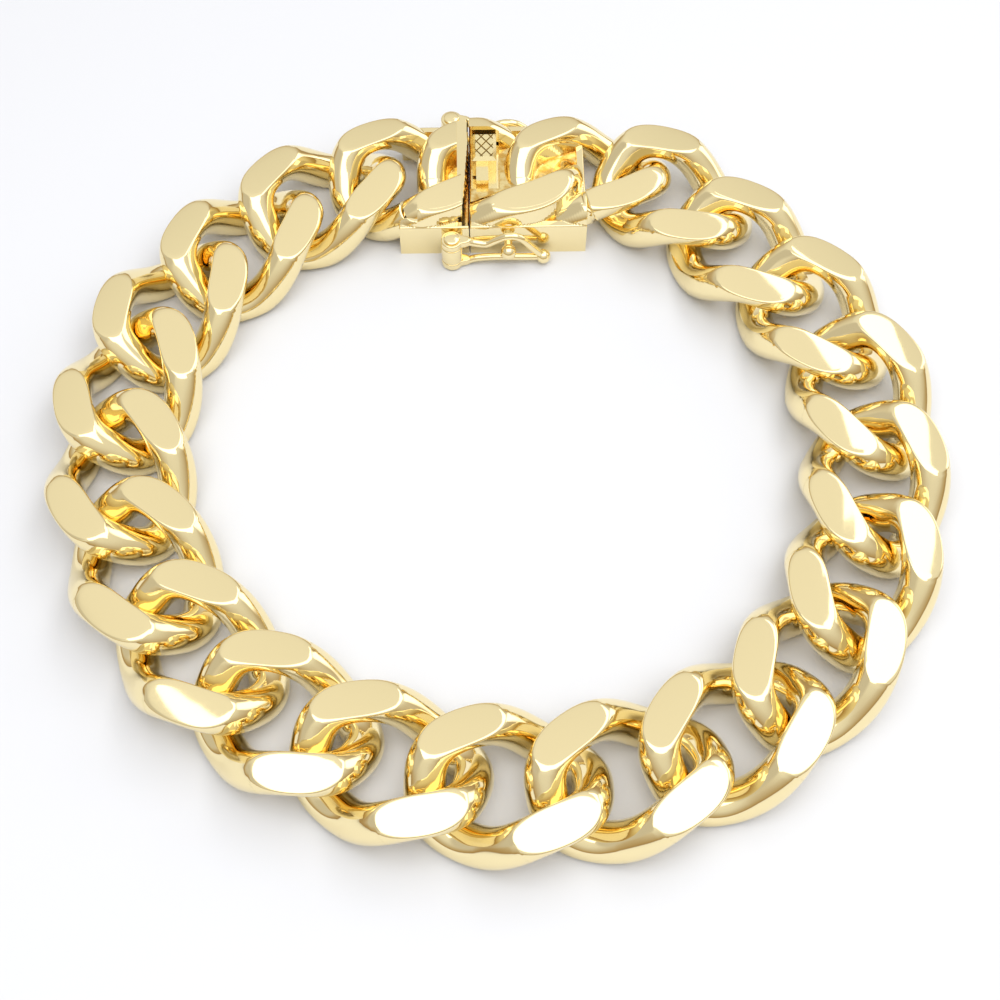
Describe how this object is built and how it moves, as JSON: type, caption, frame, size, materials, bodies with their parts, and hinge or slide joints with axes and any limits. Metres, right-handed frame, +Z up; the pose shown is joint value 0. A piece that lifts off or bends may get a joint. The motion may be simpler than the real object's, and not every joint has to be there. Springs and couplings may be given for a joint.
{
  "type": "cuban link bracelet",
  "caption": "Heavy curb-link bracelet closed into a loop, with flat-ground twisted links, a box clasp with a thumb button and a folding safety latch on each side.",
  "frame": {"origin": "middle of the loop's outline, on the surface that the bracelet lies on", "axes": "+Z up from the surface, +X along the clasp from its tongue end to its box end, +Y from the wrist hollow towards the clasp"},
  "size_m": [0.0834, 0.0806, 0.0062],
  "materials": {
    "link_gold": "bright polished gold plate with ground flats",
    "clasp_gold": "polished gold plate, as cast in the recesses",
    "catch_gold": "satin gold plate with an engraved thumb button",
    "latch_gold": "polished gold plated wire"
  },
  "bodies": {
    "bracelet": {"link_01": "link_gold", "link_02": "link_gold", "link_03": "link_gold", "link_04": "link_gold", "link_05": "link_gold", "link_06": "link_gold", "link_07": "link_gold", "link_08": "link_gold", "link_09": "link_gold", "link_10": "link_gold", "link_11": "link_gold", "link_12": "link_gold", "link_13": "link_gold", "link_14": "link_gold", "link_15": "link_gold", "link_16": "link_gold", "link_17": "link_gold", "link_18": "link_gold", "link_19": "link_gold", "tongue_end": "clasp_gold", "box_end": "clasp_gold"},
    "spring_catch": {"spring_catch": "catch_gold"},
    "latch_near": {"latch_near": "latch_gold"},
    "latch_far": {"latch_far": "latch_gold"}
  },
  "joints": [
    {"name": "latch_near_hinge", "type": "hinge", "parent": "bracelet", "child": "latch_near", "pos_m": [-0.00412, 0.02288, 0.002], "axis": [0, 0, -1], "range_deg": [0, 120]},
    {"name": "latch_far_hinge", "type": "hinge", "parent": "bracelet", "child": "latch_far", "pos_m": [-0.00412, 0.03888, 0.002], "axis": [0, 0, 1], "range_deg": [0, 120]},
    {"name": "thumb_catch", "type": "hinge", "parent": "bracelet", "child": "spring_catch", "pos_m": [0.00788, 0.03088, 0.00195], "axis": [0, -1, 0], "range_deg": [0, 4.5], "stiffness_Nm_per_rad": 0.05, "springref_deg": -1.15}
  ]
}
